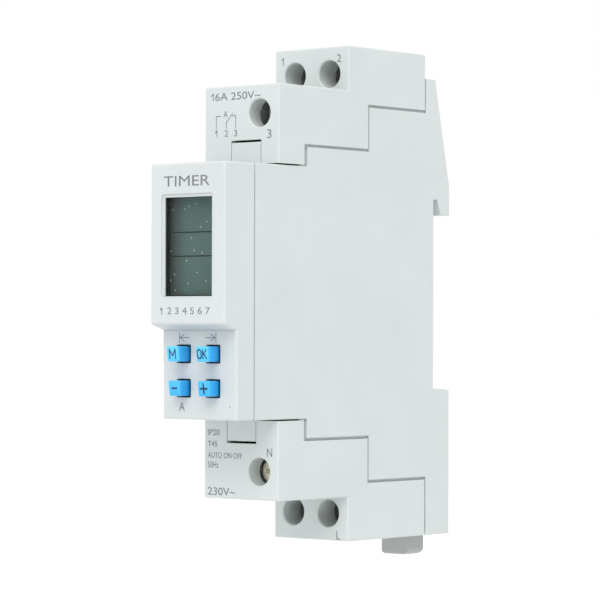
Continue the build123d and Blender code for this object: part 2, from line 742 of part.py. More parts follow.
def relay_yoke():
    """L-shaped iron yoke with the coil's core."""
    foot = block((COIL_X - 3.1, COIL_X + 3.1), (-20.4, -11.0), (1.3, 2.7))
    back = block((COIL_X - 3.1, COIL_X + 3.1), (-20.4, -19.2), (1.3, 19.3))
    return foot + back + rod("Z", (COIL_X, COIL_Y), 1.4, (2.6, 18.7))


def relay_armature():
    """Iron plate hinged on the top of the yoke."""
    return block((COIL_X - 3.1, COIL_X + 3.1), (-20.3, -11.4), (19.6, 20.8))


def relay_moving_contact():
    """Contact spring standing on the armature."""
    blade = block((COIL_X - 1.5, COIL_X + 1.5), (-17.6, -17.3), (20.8, 27.0))
    return blade + rod("Y", (COIL_X, 26.0), 0.8, (-17.8, -17.1))


def relay_fixed_contacts():
    """Rest contact and work contact on either side of the moving contact."""
    contacts = []
    for blade_y, tip_y in (((-18.9, -18.4), (-18.5, -17.9)), ((-16.0, -15.5), (-16.45, -15.9))):
        blade = block((RELAY_X[0] + 1.0, COIL_X + 1.2), blade_y, (25.0, 27.0))
        contacts.append(blade + rod("Y", (COIL_X, 26.0), 0.8, tip_y))
    return Compound(children=contacts)


def battery_holder():
    """Round holder with an open side for the coin cell."""
    y, z = -16.0, -14.0
    base = rod("X", (y, z), 10.6, (BOARD_X[1], BOARD_X[1] + 0.8))
    ring = rod("X", (y, z), 10.6, (BOARD_X[1] + 0.7, BOARD_X[1] + 3.0))
    ring -= rod("X", (y, z), 10.1, (BOARD_X[1] + 0.6, BOARD_X[1] + 4.0))
    ring -= block((BOARD_X[1] + 0.9, BOARD_X[1] + 4.0), (y - 12, y + 12), (z - 6, z + 6))
    return base + ring


def backup_battery():
    """Coin cell that keeps the clock running."""
    cell = rod("X", (-16.0, -14.0), 10.0, (BOARD_X[1] + 0.8, BOARD_X[1] + 3.4))
    return cell + rod("X", (-16.0, -14.0), 8.9, (BOARD_X[1] + 3.3, BOARD_X[1] + 4.0))


def suppression_capacitor():
    """Boxed mains dropper capacitor."""
    box = block((BOARD_X[1], 0.4), (-45.2, -32.6), (-15.5, -4.8))
    return fillet(box.edges().filter_by(Axis.X), 0.5)


def smoothing_capacitor():
    """Electrolytic capacitor standing on the main board."""
    can = rod("X", (-40.0, 3.0), 4.0, (BOARD_X[1], 5.6))
    return chamfer(edges_near(can, x=5.6).filter_by(GeomType.CIRCLE), 0.4)


def varistor():
    """Disc varistor across the mains input."""
    disc = rod("Y", (-0.6, 15.0), 4.2, (-31.5, -28.0))
    return disc + block((BOARD_X[1], -3.0), (-30.2, -29.4), (12.0, 18.0))


def rectifier_diodes():
    """Four small diodes in a row."""
    x = BOARD_X[1] + DIODE_RADIUS
    rods = [rod("Z", (x, DIODE_Y - DIODE_STEP * n), DIODE_RADIUS, DIODE_Z) for n in range(4)]
    return Compound(children=rods)


def fuse_resistor():
    """Fusible resistor in the mains lead."""
    barrel = rod("Z", (BOARD_X[1] + 1.6, -30.0), 1.6, (-22.0, -13.0))
    return fillet(barrel.edges().filter_by(GeomType.CIRCLE), 0.4)


# --- rail clip ---
def din_clip():
    """Sliding rail clip: nose, window for the spring, guide wings and rounded pull tab."""
    front, back = CLIP_FRONT_Y, CLIP_BACK_Y
    outline = [
        (front, SLOT_BOTTOM - 0.2),
        (NOSE_Y[0], SLOT_BOTTOM - 0.2),
        (NOSE_Y[0], CLIP_TOP),
        (NOSE_Y[1], CLIP_TOP + 0.5),
        (back, NOSE_END_Z),
        (back, CLIP_BOTTOM),
        (front, CLIP_BOTTOM),
    ]
    clip = slice_yz(outline, (-CLIP_HALF_X, CLIP_HALF_X))
    rounded = edges_near(clip, y=front, z=CLIP_BOTTOM)
    for x in (-CLIP_HALF_X, CLIP_HALF_X):
        rounded += edges_near(clip, x=x, y=front)
    clip = fillet(rounded, TAB_FRONT_RADIUS)
    clip = fillet(edges_near(clip, y=back, z=CLIP_BOTTOM), TAB_BACK_RADIUS)
    high = 2 * -CLIP_BOTTOM
    keep = Plane.XZ * RectangleRounded(2 * CLIP_HALF_X, high, TAB_CORNER_RADIUS)
    clip &= Pos(0, back + 1, 0) * extrude(keep, back - front + 2)
    clip += block((-WING_HALF_X, WING_HALF_X), WING_Y, WING_Z)
    clip -= block((-CLIP_WINDOW_HALF_X, CLIP_WINDOW_HALF_X), (front - 1, back + 1), CLIP_WINDOW_Z)
    return clip


def din_clip_spring():
    """Compression spring between the housing ledge and the top of the clip's window."""
    low = LEDGE_Z[1]
    high = CLIP_WINDOW_Z[1]
    length = high - low - 2 * SPRING_WIRE
    mean_radius = SPRING_RADIUS - SPRING_WIRE
    path = Helix(pitch=length / SPRING_TURNS, height=length, radius=mean_radius)
    start = Plane(origin=path @ 0, z_dir=path % 0)
    coil = sweep(start * Circle(SPRING_WIRE), path, is_frenet=True)
    return Pos(0, SPRING_Y, low + SPRING_WIRE) * coil


def all_parts():
    """Every node of the assembly by name."""
    nodes = {
        "housing_body": housing_body(),
        "side_cover": side_cover(),
        "upper_terminal_cover": terminal_cover(4.15, [-4.1, 4.1], UPPER_TAB_X, UPPER_TAB_TIP),
        "lower_terminal_cover": mirror(
            terminal_cover(4.2, [4.0], LOWER_TAB_X, LOWER_TAB_TIP, EMPTY_PLACE_X), about=Plane.XY
        ),
        "front_cover": front_cover(),
        "display_window": display_window(),
        "lcd_panel": lcd_panel(),
        "lcd_holder_frame": lcd_holder_frame(),
        "zebra_strips": zebra_strips(),
        "display_board": display_board(),
        "tact_switch_bodies": tact_switch_bodies(),
        "microcontroller": microcontroller(),
        "quartz_crystal": quartz_crystal(),
        "board_connector": board_connector(),
        "main_board": main_board(),
        "relay_base": relay_base(),
        "relay_case": relay_case(),
        "relay_coil": relay_coil(),
        "relay_yoke": relay_yoke(),
        "relay_armature": relay_armature(),
        "relay_moving_contact": relay_moving_contact(),
        "relay_fixed_contacts": relay_fixed_contacts(),
        "battery_holder": battery_holder(),
        "backup_battery": backup_battery(),
        "suppression_capacitor": suppression_capacitor(),
        "smoothing_capacitor": smoothing_capacitor(),
        "varistor": varistor(),
        "rectifier_diodes": rectifier_diodes(),
        "fuse_resistor": fuse_resistor(),
        "din_clip": din_clip(),
        "din_clip_spring": din_clip_spring(),
    }
    button_names = (("button_menu", "button_minus"), ("button_ok", "button_plus"))
    for column, x in enumerate(BUTTON_X):
        for row, z in enumerate(BUTTON_Z):
            name = button_names[column][row]
            nodes[name] = button(x, z, BUTTON_FRONT_Y[row])
            nodes[name.replace("button", "plunger")] = switch_plunger(x, z)
    for name in TERMINALS:
        nodes["terminal_screw_" + name] = terminal_screw(name)
        nodes["clamp_cage_" + name] = clamp_cage(name)
        nodes["terminal_bar_" + name] = terminal_bar(name)
    return nodes


os.makedirs("parts", exist_ok=True)
for node, shape in all_parts().items():
    export_step(shape, f"parts/{node}.step")
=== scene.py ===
import json
import math

import bmesh
import bpy
from mathutils import Matrix, Vector

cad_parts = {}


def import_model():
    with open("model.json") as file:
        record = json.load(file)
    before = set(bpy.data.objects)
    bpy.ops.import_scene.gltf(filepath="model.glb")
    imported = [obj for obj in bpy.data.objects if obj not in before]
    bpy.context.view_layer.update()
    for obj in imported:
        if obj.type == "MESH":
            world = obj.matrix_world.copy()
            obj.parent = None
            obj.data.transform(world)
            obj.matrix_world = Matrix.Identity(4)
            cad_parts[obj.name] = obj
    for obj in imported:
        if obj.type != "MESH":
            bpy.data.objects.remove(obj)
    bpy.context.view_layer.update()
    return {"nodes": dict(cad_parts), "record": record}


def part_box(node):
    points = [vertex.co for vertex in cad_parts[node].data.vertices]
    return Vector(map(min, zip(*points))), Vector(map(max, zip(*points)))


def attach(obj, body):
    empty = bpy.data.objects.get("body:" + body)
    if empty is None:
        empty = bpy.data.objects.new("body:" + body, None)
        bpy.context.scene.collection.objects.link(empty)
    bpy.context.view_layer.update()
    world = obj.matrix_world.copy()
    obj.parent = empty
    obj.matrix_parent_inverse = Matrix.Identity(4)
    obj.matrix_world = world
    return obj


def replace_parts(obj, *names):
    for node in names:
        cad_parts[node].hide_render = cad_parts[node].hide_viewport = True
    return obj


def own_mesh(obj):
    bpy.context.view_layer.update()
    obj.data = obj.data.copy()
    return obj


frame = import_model()

# Looks of the DIN rail timer. Metres, in the frame of the CAD model: X right, Y back, Z up.
MM = 0.001
HOUSING = "housing"
SHARP_ANGLE = math.radians(35)

# --- faces and places, from the frame ---
PANEL_SETBACK = 3.2 * MM
REAR_STEP_SETBACK = 19.5 * MM
DISPLAY_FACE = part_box("front_cover")[0].y
PANEL_FACE = DISPLAY_FACE + PANEL_SETBACK
BLOCK_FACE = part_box("upper_terminal_cover")[0].y
REAR_STEP_FACE = BLOCK_FACE + REAR_STEP_SETBACK
LCD_LOW, LCD_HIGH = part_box("lcd_panel")
CAPACITOR_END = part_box("smoothing_capacitor")[1].x

# --- print: how far it stands out, and its pens in millimetres ---
PRINT_BACK = 0.004 * MM
PRINT_THICK = 0.02 * MM
LINE_PEN = 0.13
FIGURE_PEN = 0.17
DIVIDER_PEN = 0.22
LETTER_PEN = 0.24
SIGN_PEN = 0.36

# --- sloping front of a button ---
BUTTON_TILT = math.radians(8)
BUTTON_HIGH = 2.7 * MM
BUTTON_EDGE = 0.2 * MM

# --- display glass ---
GLASS_LEDGE = 1.2 * MM
FRONT_PLATE_BACK = LCD_LOW.y + 1.1 * MM
PLATE_GAP = 0.02 * MM
PLATE_EDGE = 0.08 * MM
FILM_THICK = 0.16 * MM
FILM_SINK = 0.01 * MM
FILM_INSET = 0.2 * MM
FILM_EDGE = 0.03 * MM

# --- screws ---
THREAD_PITCH = 0.5 * MM
THREAD_CREST = 1.43 * MM
THREAD_ROOT = 1.17 * MM
THREAD_SEGMENTS = 40
ROWS_PER_PITCH = 6
HEAD_RADIUS = 2.2 * MM
HEAD_LENGTH = 2.2 * MM
HEAD_OVERLAP = 0.05 * MM
HEAD_EDGE = 0.035 * MM
HEAD_SEGMENTS = 64
# a recess cutter above the head, as shares of its width and length at the face
FLARE_WIDE, FLARE_LONG = 1.6, 1.1

# --- spring of the rail clip ---
SPRING_WIRE = 0.175 * MM
SPRING_RADIUS = 1.3 * MM
SPRING_TURNS = 7
SPRING_CLOSED_TURNS = 1
SPRING_STEPS_PER_TURN = 28
WIRE_SEGMENTS = 10

# --- floor ---
FLOOR_HALF = 6.0
FLOOR_LEVEL = -0.10

# --- camera, fitted to the photograph ---
CAMERA_AZIMUTH = math.radians(40.07)
CAMERA_ELEVATION = math.radians(-0.66)
CAMERA_ROLL = math.radians(0.13)
CAMERA_DISTANCE = 0.5288
CAMERA_LENS = 174.35
SENSOR = 36.0
AIM_ACROSS, AIM_Y, AIM_Z = 0.88 * MM, -30 * MM, -1.21 * MM


# --- node helpers ---
def shader_tree(name):
    """New node material, as (material, tree, Principled shader)."""
    material = bpy.data.materials.new(name)
    material.use_nodes = True
    tree = material.node_tree
    tree.nodes.clear()
    shader = tree.nodes.new("ShaderNodeBsdfPrincipled")
    output = tree.nodes.new("ShaderNodeOutputMaterial")
    tree.links.new(shader.outputs["BSDF"], output.inputs["Surface"])
    return material, tree, shader


def object_place(tree):
    """Object coordinates, in metres, so that every texture has its real size."""
    return tree.nodes.new("ShaderNodeTexCoord").outputs["Object"]


def axis_values(tree):
    """Outputs of the object coordinates by axis name, in metres."""
    split = tree.nodes.new("ShaderNodeSeparateXYZ")
    tree.links.new(object_place(tree), split.inputs[0])
    return split.outputs


def flat_place(tree, across, up):
    """Texture coordinates for a pattern on a plane, from two sockets."""
    join = tree.nodes.new("ShaderNodeCombineXYZ")
    tree.links.new(across, join.inputs["X"])
    tree.links.new(up, join.inputs["Y"])
    return join.outputs[0]


def noise(tree, size, detail, stretch=(1, 1, 1)):
    """Noise with features of about size metres, drawn out along an axis by a stretch below 1."""
    mapping = tree.nodes.new("ShaderNodeMapping")
    mapping.inputs["Scale"].default_value = stretch
    tree.links.new(object_place(tree), mapping.inputs["Vector"])
    texture = tree.nodes.new("ShaderNodeTexNoise")
    texture.inputs["Scale"].default_value = 1 / size
    texture.inputs["Detail"].default_value = detail
    tree.links.new(mapping.outputs["Vector"], texture.inputs["Vector"])
    return texture.outputs["Fac"]


def span(tree, value, source, target):
    """Maps a value from the source limits to the target limits, held at both ends."""
    node = tree.nodes.new("ShaderNodeMapRange")
    for name, number in zip(("From Min", "From Max", "To Min", "To Max"), (*source, *target)):
        node.inputs[name].default_value = number
    tree.links.new(value, node.inputs["Value"])
    return node.outputs["Result"]


def patches(tree, size, detail=3, most=1.0, limits=(0.35, 0.65)):
    """Soft patches of about size metres, from 0 to most; limits are the noise levels of the two ends."""
    return span(tree, noise(tree, size, detail), limits, (0, most))


def math_node(tree, operation, first, second):
    """Math node; each input is a socket or a number."""
    node = tree.nodes.new("ShaderNodeMath")
    node.operation = operation
    for socket, value in zip(node.inputs, (first, second)):
        if isinstance(value, (int, float)):
            socket.default_value = value
        else:
            tree.links.new(value, socket)
    return node.outputs[0]


def mix_colour(tree, factor, first, second):
    """Colour from first to second by a factor; each colour is a socket or three numbers."""
    node = tree.nodes.new("ShaderNodeMix")
    node.data_type = "RGBA"
    factor_socket, first_socket, second_socket = node.inputs[0], node.inputs[6], node.inputs[7]
    tree.links.new(factor, factor_socket)
    for socket, value in ((first_socket, first), (second_socket, second)):
        if isinstance(value, bpy.types.NodeSocket):
            tree.links.new(value, socket)
        else:
            socket.default_value = (*value, 1)
    return node.outputs[2]


def coat(tree, shader, colour, roughness):
    """Links a colour and a roughness to the shader."""
    tree.links.new(colour, shader.inputs["Base Color"])
    tree.links.new(roughness, shader.inputs["Roughness"])


def bump(tree, shader, height, depth):
    """Relief of the given depth in metres."""
    node = tree.nodes.new("ShaderNodeBump")
    node.inputs["Strength"].default_value = 1.0
    node.inputs["Distance"].default_value = depth
    tree.links.new(height, node.inputs["Height"])
    tree.links.new(node.outputs["Normal"], shader.inputs["Normal"])


def shade(colour, factor):
    """Colour made lighter or darker."""
    return tuple(min(1.0, c * factor) for c in colour)


# --- materials ---
def plastic(name, colour, roughness=0.5, grain=0.14 * MM, depth=0.0022 * MM, drift=0.02):
    """Moulded plastic: spark-eroded grain, slow tone drift, a few darker flecks and uneven sheen."""
    material, tree, shader = shader_tree(name)
    tone = patches(tree, 14 * MM)
    base = mix_colour(tree, tone, shade(colour, 1 - drift), shade(colour, 1 + drift))
    fleck = patches(tree, 0.35 * MM, 2, 0.12, (0.62, 0.72))
    sheen = span(tree, noise(tree, 2.5 * MM, 3), (0.3, 0.7), (roughness - 0.05, roughness + 0.06))
    coat(tree, shader, mix_colour(tree, fleck, base, shade(colour, 0.86)), sheen)
    shader.inputs["Specular IOR Level"].default_value = 0.35
    bump(tree, shader, noise(tree, grain, 3), depth)
    return material


def metal(name, colour, roughness=0.32, stretch=(1, 1, 0.08), streak=0.12):
    """Plated metal: fine drawing streaks and patchy passivation."""
    material, tree, shader = shader_tree(name)
    base = mix_colour(tree, patches(tree, 1.6 * MM), shade(colour, 0.88), shade(colour, 1.08))
    streaks = noise(tree, 0.09 * MM, 2, stretch)
    coat(tree, shader, base, span(tree, streaks, (0.3, 0.7), (roughness - streak, roughness + streak)))
    shader.inputs["Metallic"].default_value = 1.0
    bump(tree, shader, streaks, 0.0025 * MM)
    return material


def button_plastic():
    """Blue cap with painted light and shade: pale at its lit front, painted darker along its sides and near
    black down in the gap of its opening.
    """
    material, tree, shader = shader_tree("button_blue")
    depth = axis_values(tree)["Y"]
    cap = (0.115, 0.60, 0.98)
    # painted light and shade: the cap is paler at its lit front and is darkened along Y, to near black in
    # the shaded gap of its opening
    painted_shade_colours = (
        (0, 0.9 * MM, (0.028, 0.42, 0.88)),
        (0.8 * MM, 2.9 * MM, (0.002, 0.26, 0.62)),
        (2.9 * MM, 3.5 * MM, (0.002, 0.03, 0.08)),
    )
    for start, end, colour in painted_shade_colours:
        share = span(tree, depth, (DISPLAY_FACE + start, DISPLAY_FACE + end), (0, 1))
        cap = mix_colour(tree, share, cap, colour)
    most = 0.12
    cloud = patches(tree, 1.5 * MM, most=most)
    cap = mix_colour(tree, cloud, cap, (0.015, 0.34, 0.75))
    coat(tree, shader, cap, span(tree, cloud, (0, most), (0.26, 0.36)))
    shader.inputs["Specular IOR Level"].default_value = 0.5
    bump(tree, shader, noise(tree, 0.10 * MM, 3), 0.0015 * MM)
    return material


def window_pane():
    """Clear moulded pane with faint flow haze."""
    material, tree, shader = shader_tree("clear_pane")
    haze = patches(tree, 4 * MM)
    base = mix_colour(tree, haze, (0.016, 0.024, 0.022), (0.022, 0.031, 0.029))
    coat(tree, shader, base, span(tree, haze, (0, 1), (0.03, 0.07)))
    shader.inputs["IOR"].default_value = 1.49
    shader.inputs["Alpha"].default_value = 0.25
    return material


def lcd_film():
    """Reflective display film: grey green, with painted shade that darkens it towards its left edge, and
    sparse bright specks.
    """
    material, tree, shader = shader_tree("lcd_film")
    place = axis_values(tree)
    # painted shade: the film is darkened towards its left edge, where the window's left wall shades it
    painted_shade_fade = span(tree, place["X"], (LCD_LOW.x + 0.5 * MM, LCD_LOW.x + 4.2 * MM), (0, 1))
    base = mix_colour(tree, painted_shade_fade, (0.115, 0.118, 0.118), (0.205, 0.345, 0.312))
    most = 0.12
    cloud = patches(tree, 6 * MM, 2, most, (0.3, 0.7))
    base = mix_colour(tree, cloud, base, (0.23, 0.34, 0.31))
    cells = tree.nodes.new("ShaderNodeTexVoronoi")
    cells.voronoi_dimensions = "2D"
    cells.inputs["Scale"].default_value = 1 / (2.9 * MM)
    tree.links.new(flat_place(tree, place["X"], place["Z"]), cells.inputs["Vector"])
    speck = span(tree, cells.outputs["Distance"], (0.038, 0.062), (1, 0))
    base = mix_colour(tree, speck, base, (0.92, 0.98, 0.95))
    coat(tree, shader, base, span(tree, cloud, (0, most), (0.42, 0.55)))
    shader.inputs["Specular IOR Level"].default_value = 0.3
    return material


def glass_edge():
    """Ground edge of the display glass: dull green grey."""
    material, tree, shader = shader_tree("glass_edge")
    cut = span(tree, noise(tree, 0.08 * MM, 3, (1, 1, 0.2)), (0.3, 0.7), (0, 1))
    base = mix_colour(tree, cut, (0.10, 0.15, 0.13), (0.22, 0.30, 0.27))
    coat(tree, shader, base, span(tree, cut, (0, 1), (0.2, 0.5)))
    bump(tree, shader, cut, 0.004 * MM)
    return material


def solder_mask():
    """Circuit board: green mask over tracks and pads, with the weave of the laminate."""
    material, tree, shader = shader_tree("solder_mask")
    tracks = tree.nodes.new("ShaderNodeTexBrick")
    tracks.offset = 0.37
    tracks.inputs["Scale"].default_value = 1 / (7 * MM)
    tracks.inputs["Mortar Size"].default_value = 0.05
    tracks.inputs["Brick Width"].default_value = 0.9
    tracks.inputs["Row Height"].default_value = 0.28
    place = axis_values(tree)
    across = math_node(tree, "ADD", place["X"], place["Y"])
    tree.links.new(flat_place(tree, across, place["Z"]), tracks.inputs["Vector"])
    vias = tree.nodes.new("ShaderNodeTexVoronoi")
    vias.inputs["Scale"].default_value = 1 / (3.2 * MM)
    tree.links.new(object_place(tree), vias.inputs["Vector"])
    pad = span(tree, vias.outputs["Distance"], (0.09, 0.11), (1, 0))
    mask = mix_colour(tree, tracks.outputs["Fac"], (0.012, 0.085, 0.035), (0.03, 0.17, 0.07))
    base = mix_colour(tree, pad, mask, (0.55, 0.52, 0.42))
    coat(tree, shader, base, span(tree, pad, (0, 1), (0.32, 0.25)))
    weave = math_node(tree, "MULTIPLY", noise(tree, 0.3 * MM, 2), 0.2)
    bump(tree, shader, math_node(tree, "ADD", weave, tracks.outputs["Fac"]), 0.02 * MM)
    return material


def banded(name, axis, turns, first, second, roughness, depth):
    """Fine regular bands along one axis, as on a winding or a contact strip."""
    material, tree, shader = shader_tree(name)
    wave = tree.nodes.new("ShaderNodeTexWave")
    wave.bands_direction = axis
    wave.inputs["Scale"].default_value = turns / (2 * math.pi) / MM
    wave.inputs["Distortion"].default_value = 0.4
    tree.links.new(object_place(tree), wave.inputs["Vector"])
    most = 0.35
    drift = patches(tree, 1.5 * MM, 2, most)
    bands = math_node(tree, "MAXIMUM", wave.outputs["Fac"], drift)
    sheen = span(tree, drift, (0, most), (roughness, roughness + 0.1))
    coat(tree, shader, mix_colour(tree, bands, first, second), sheen)
    bump(tree, shader, wave.outputs["Fac"], depth)
    return material


def capped(name, end_x, body_colour, cap_colour, roughness):
    """Sleeve with a bare metal end beyond one X coordinate."""
    material, tree, shader = shader_tree(name)
    blur = 0.05 * MM
    end = span(tree, axis_values(tree)["X"], (end_x - blur, end_x + blur), (0, 1))
    tone = patches(tree, 1.2 * MM)
    skin = mix_colour(tree, tone, shade(body_colour, 0.9), shade(body_colour, 1.12))
    sheen = span(tree, tone, (0, 1), (roughness, roughness + 0.12))
    coat(tree, shader, mix_colour(tree, end, skin, cap_colour), sheen)
    tree.links.new(end, shader.inputs["Metallic"])
    bump(tree, shader, noise(tree, 0.4 * MM, 3), 0.01 * MM)
    return material


def ink(name, colour):
    """Pad-printed ink, a little patchy."""
    material, tree, shader = shader_tree(name)
    least = 0.85
    patch = span(tree, noise(tree, 0.12 * MM, 3), (0.35, 0.7), (least, 1))
    base = mix_colour(tree, patch, shade(colour, 1.6), colour)
    coat(tree, shader, base, span(tree, patch, (least, 1), (0.6, 0.45)))
    bump(tree, shader, noise(tree, 0.06 * MM, 2), 0.001 * MM)
    return material


LIGHT_GREY = (0.580, 0.614, 0.610)
FRONT_GREY = (0.588, 0.614, 0.616)
MATERIALS = {
    "housing": plastic("housing_grey", LIGHT_GREY),
    "terminal_cover": plastic("terminal_cover_grey", shade(LIGHT_GREY, 1.01), 0.52),
    "front_cover": plastic("front_cover_grey", FRONT_GREY, 0.48, 0.11 * MM, 0.0016 * MM, 0.015),
    "window": window_pane(),
    "lcd_glass": glass_edge(),
    "black_plastic": plastic("black_plastic", (0.012, 0.012, 0.014), 0.4, drift=0.2),
    "elastomer": banded(
        "elastomer_strip", "X", 60, (0.02, 0.02, 0.022), (0.42, 0.30, 0.31), 0.6, 0.006 * MM
    ),
    "circuit_board": solder_mask(),
    "plated_steel": metal("zinc_plated_steel", (0.60, 0.61, 0.60)),
    "relay_plastic": plastic("relay_orange", (0.62, 0.17, 0.022), 0.33, drift=0.06),
    "coil_winding": banded(
        "coil_winding", "Z", 31, (0.10, 0.026, 0.006), (0.55, 0.19, 0.055), 0.28, 0.03 * MM
    ),
    "contact_brass": metal("contact_brass", (0.72, 0.50, 0.22), 0.26),
    "capacitor_box": plastic("capacitor_yellow", (0.56, 0.40, 0.035), 0.3, drift=0.06),
    "capacitor_sleeve": capped(
        "capacitor_sleeve", CAPACITOR_END - 0.35 * MM, (0.015, 0.02, 0.05), (0.6, 0.61, 0.62), 0.25
    ),
    "varistor_coat": plastic("varistor_blue", (0.02, 0.09, 0.33), 0.25, 0.6 * MM, 0.02 * MM, 0.12),
    "resistor_coat": banded(
        "resistor_lacquer", "Z", 2.4, (0.11, 0.20, 0.15), (0.20, 0.32, 0.25), 0.4, 0.002 * MM
    ),
    "clip_plastic": plastic("clip_grey", (0.385, 0.40, 0.385), 0.5, drift=0.04),
    "spring_steel": metal("spring_steel", (0.50, 0.51, 0.52), 0.25, (1, 1, 1)),
    "screw_steel": metal("screw_zinc", (0.88, 0.84, 0.68), 0.42, (1, 1, 1), 0.1),
    "button_blue": button_plastic(),
}
GREY_INK = ink("grey_ink", (0.165, 0.175, 0.185))
NAVY_INK = ink("navy_ink", (0.012, 0.055, 0.125))
BLACK_INK = ink("display_line", (0.018, 0.03, 0.028))
LCD_FILM = lcd_film()


def dress_nodes():
    """Gives every carried-over CAD node the material of its slot."""
    for part in frame["record"]["subparts"]:
        node = frame["nodes"][part["node"]]
        node.data.materials.clear()
        node.data.materials.append(MATERIALS[part["material_slot"]])


# --- object and mesh helpers ---
def add_object(name, data):
    """New object in the scene."""
    thing = bpy.data.objects.new(name, data)
    bpy.context.scene.collection.objects.link(thing)
    return thing


def add_piece(name, mesh, material, body):
    """Adds a mesh as a piece that rides on a body."""
    piece = add_object(name, mesh)
    mesh.materials.clear()
    mesh.materials.append(material)
    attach(piece, body)
    return piece


def mesh_from(build):
    """Mesh of a bmesh, with outward normals."""
    bmesh.ops.recalc_face_normals(build, faces=build.faces)
    mesh = bpy.data.meshes.new("mesh")
    build.to_mesh(mesh)
    build.free()
    return mesh


def evaluated_mesh(holder):
    """Final mesh of an object that is only needed for its shape."""
    bpy.context.view_layer.update()
    graph = bpy.context.evaluated_depsgraph_get()
    mesh = bpy.data.meshes.new_from_object(holder.evaluated_get(graph))
    bpy.data.objects.remove(holder)
    return mesh


def smooth(mesh):
    """Smooth shading with the sharper edges kept."""
    mesh.shade_smooth()
    mesh.set_sharp_from_angle(angle=SHARP_ANGLE)
    return mesh


def loft(rings, build=None):
    """Closed tube through rings of points, in a new bmesh or added to one."""
    if build is None:
        build = bmesh.new()
    loops = [[build.verts.new(point) for point in ring] for ring in rings]
    for first, second in zip(loops, loops[1:]):
        for i in range(len(first)):
            j = (i + 1) % len(first)
            build.faces.new((first[i], first[j], second[j], second[i]))
    build.faces.new(loops[0])
    build.faces.new(reversed(loops[-1]))
    return build


def bevelled_box(build, low, high, width):
    """Adds a block with rounded edges to a bmesh."""
    place = Matrix.Translation((low + high) / 2) @ Matrix.Diagonal((*(high - low), 1))
    corners = bmesh.ops.create_cube(build, size=1, matrix=place)["verts"]
    edges = [edge for edge in build.edges if edge.verts[0] in corners]
    bmesh.ops.bevel(build, geom=edges, offset=width, segments=2, profile=0.6, affect="EDGES")


# --- lettering; X and Z are in millimetres ---
def lettering(text, x, z, face):
    """Raised print on a face towards -Y: text that fills the X and Z limits."""
    curve = bpy.data.curves.new("lettering", "FONT")
    curve.body = text
    curve.extrude = 0.5
    curve.resolution_u = 5
    mesh = evaluated_mesh(add_object("lettering", curve))
    corners = [vertex.co.copy() for vertex in mesh.vertices]
    low = Vector(min(c[i] for c in corners) for i in range(3))
    high = Vector(max(c[i] for c in corners) for i in range(3))
    for vertex, corner in zip(mesh.vertices, corners):
        share = [(corner[i] - low[i]) / (high[i] - low[i]) for i in range(3)]
        vertex.co = (
            (x[0] + share[0] * (x[1] - x[0])) * MM,
            face + PRINT_BACK - share[2] * (PRINT_BACK + PRINT_THICK),
            (z[0] + share[1] * (z[1] - z[0])) * MM,
        )
    return mesh


def strokes(paths, face, pen=LINE_PEN):
    """Raised print made of straight strokes; each path is a list of (X, Z) points."""
    build = bmesh.new()
    levels = (face + PRINT_BACK, face - PRINT_THICK)
    for path in paths:
        points = [Vector((x, 0, z)) * MM for x, z in path]
        for first, last in zip(points, points[1:]):
            along = (last - first).normalized() * pen * MM / 2
            side = Vector((-along.z, 0, along.x))
            start, end = first - along, last + along
            corners = (start - side, end - side, end + side, start + side)
            loft([[(c.x, y, c.z) for c in corners] for y in levels], build)
    return mesh_from(build)


def figure_one(x, z):
    """Path of a figure one that fills the X and Z limits: a short flag and an upright."""
    half = FIGURE_PEN / 2
    right, top = x[1] - half, z[1] - half
    flag_drop = 0.28 * (z[1] - z[0])
    return [(x[0] + half, top - flag_drop), (right, top), (right, z[0] + half)]


def printed_labels():
    """Grey lettering of the housing, all of it generic; each figure one is made of strokes."""
    left = -7.85
    labels = {
        "print_terminal_2": ("2", (5.95, 6.95), (42.1, 43.55), REAR_STEP_FACE),
        "print_terminal_3": ("3", (6.0, 7.0), (27.2, 28.8), BLOCK_FACE),
        "print_terminal_n": ("N", (6.15, 7.35), (-29.1, -27.6), BLOCK_FACE),
        "print_terminal_l": ("L", (6.05, 6.9), (-44.7, -43.2), REAR_STEP_FACE),
        "print_contact_rating": ("6A 250V~", (-6.3, 4.45), (34.4, 35.75), BLOCK_FACE),
        "print_supply": ("230V~", (left, -1.3), (-36.3, -34.9), BLOCK_FACE),
        "print_frequency": ("50Hz", (left, -5.3), (-31.4, -30.3), BLOCK_FACE),
        "print_switching": ("AUTO ON OFF", (left, 0.3), (-29.65, -28.65), BLOCK_FACE),
        "print_ambient": ("T45", (left, -5.6), (-27.6, -26.6), BLOCK_FACE),
        "print_enclosure": ("IP20", (left, -5.1), (-25.6, -24.5), BLOCK_FACE),
        "print_contact_2": ("2", (-4.05, -3.22), (27.9, 29.05), BLOCK_FACE),
        "print_contact_3": ("3", (-1.82, -1.05), (27.85, 29.0), BLOCK_FACE),
        "print_contact_a": ("A", (-4.3, -3.3), (31.32, 32.5), BLOCK_FACE),
        "print_type": ("TIMER", (-5.6, 5.2), (18.4, 20.2), DISPLAY_FACE),
        "print_week_days": ("2 3 4 5 6 7", (-4.7, 5.3), (-4.0, -2.8), DISPLAY_FACE),
        "print_auto": ("A", (-4.75, -3.4), (-20.95, -19.5), PANEL_FACE),
    }
    for name, (text, x, z, face) in labels.items():
        add_piece(name, lettering(text, x, z, face), GREY_INK, HOUSING)
    ones = {
        "print_terminal_1": ((-7.35, -6.75), (42.2, 43.6), REAR_STEP_FACE),
        "print_contact_1": ((-6.3, -5.8), (27.95, 29.1), BLOCK_FACE),
        "print_contact_rating_1": ((-7.25, -6.7), (34.4, 35.75), BLOCK_FACE),
        "print_week_day_1": ((-6.4, -5.9), (-4.0, -2.8), DISPLAY_FACE),
    }
    for name, (x, z, face) in ones.items():
        add_piece(name, strokes([figure_one(x, z)], face, FIGURE_PEN), GREY_INK, HOUSING)


